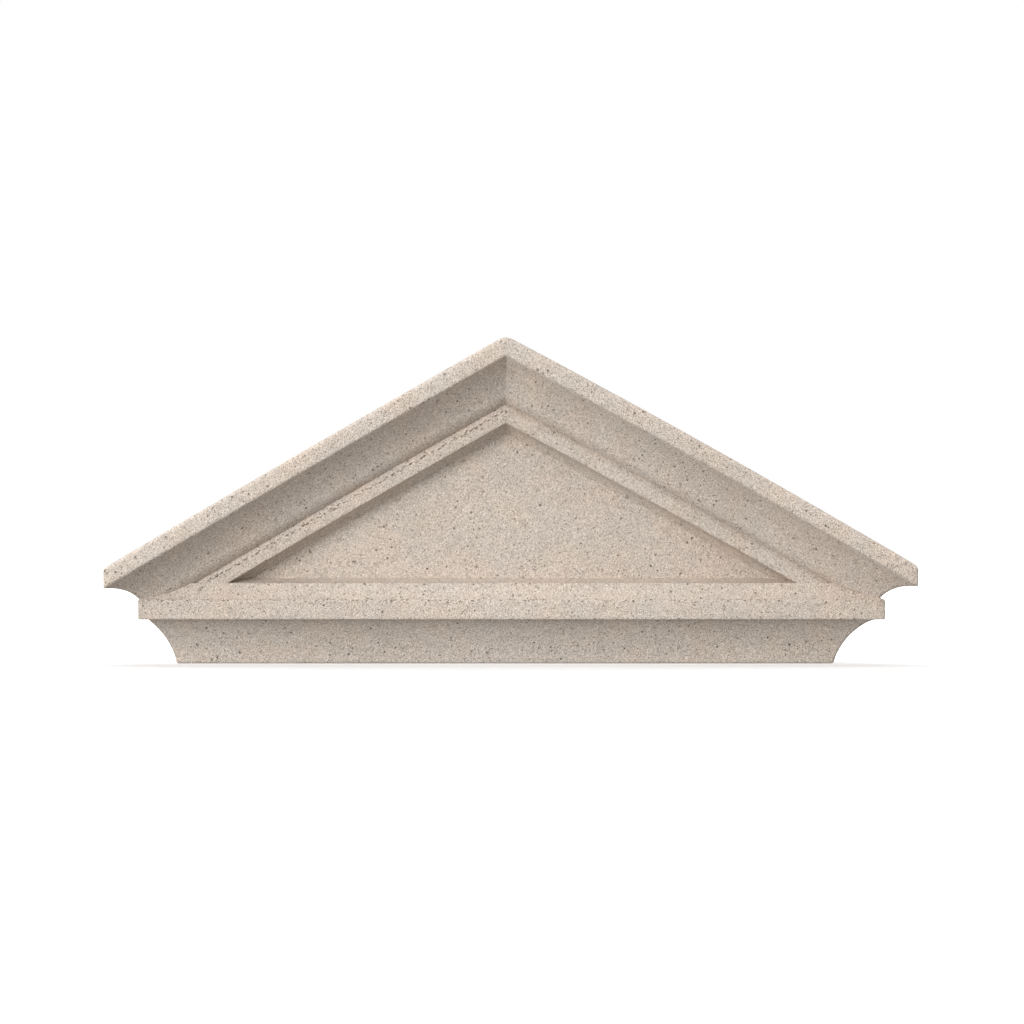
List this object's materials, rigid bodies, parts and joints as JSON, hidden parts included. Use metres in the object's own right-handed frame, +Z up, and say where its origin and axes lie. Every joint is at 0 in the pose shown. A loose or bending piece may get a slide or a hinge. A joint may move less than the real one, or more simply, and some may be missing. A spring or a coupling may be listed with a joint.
{
  "type": "classical pediment",
  "caption": "Small triangular pediment in cast stone: moulded raking and level cornices round a sunk plain tympanum, flat back and underside.",
  "frame": {"origin": "middle of the underside, on the centre line of the crown", "axes": "+X along the width, +Y towards the wall behind, +Z up to the ridge"},
  "size_m": [0.8166, 0.1516, 0.3295],
  "materials": {
    "cast_stone": "sandy buff cast stone, matt, with fine dark specks and small air holes"
  },
  "bodies": {
    "root": {"pediment": "cast_stone"}
  },
  "joints": []
}
